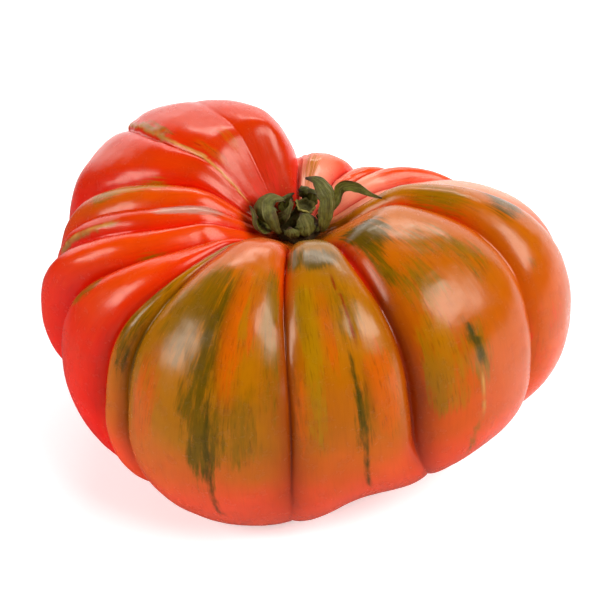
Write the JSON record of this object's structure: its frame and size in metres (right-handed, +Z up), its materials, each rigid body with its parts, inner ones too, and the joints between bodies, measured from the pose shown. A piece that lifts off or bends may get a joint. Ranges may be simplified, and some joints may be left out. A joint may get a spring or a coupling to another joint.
{
  "type": "ribbed tomato",
  "caption": "Broad, deeply ribbed beefsteak tomato as picked, with its short cut stem and dried, curled sepals in the stem pit, resting on a small flat spot.",
  "frame": {"origin": "middle of the underside, on the surface that the tomato rests on", "axes": "+Z up through the stem end, +X along the broadest way across the fruit, -Y the side with the two broadest ribs"},
  "size_m": [0.1002, 0.0808, 0.0608],
  "materials": {
    "skin": "thin glossy fruit skin, red with orange and olive-green patches, paler pink towards the foot",
    "stem": "dry, fibrous cut stem with a pale yellow-green rim",
    "sepal": "matte, dried olive-green leaf with brown tips"
  },
  "bodies": {
    "root": {"fruit": "skin", "stem_stub": "stem", "sepal_left_arched": "sepal", "sepal_left_low": "sepal", "sepal_left_inner": "sepal", "sepal_front_left": "sepal", "sepal_front_right": "sepal", "sepal_right_tall": "sepal", "sepal_right_long": "sepal", "sepal_rear": "sepal", "sepal_rear_left": "sepal"}
  },
  "joints": []
}
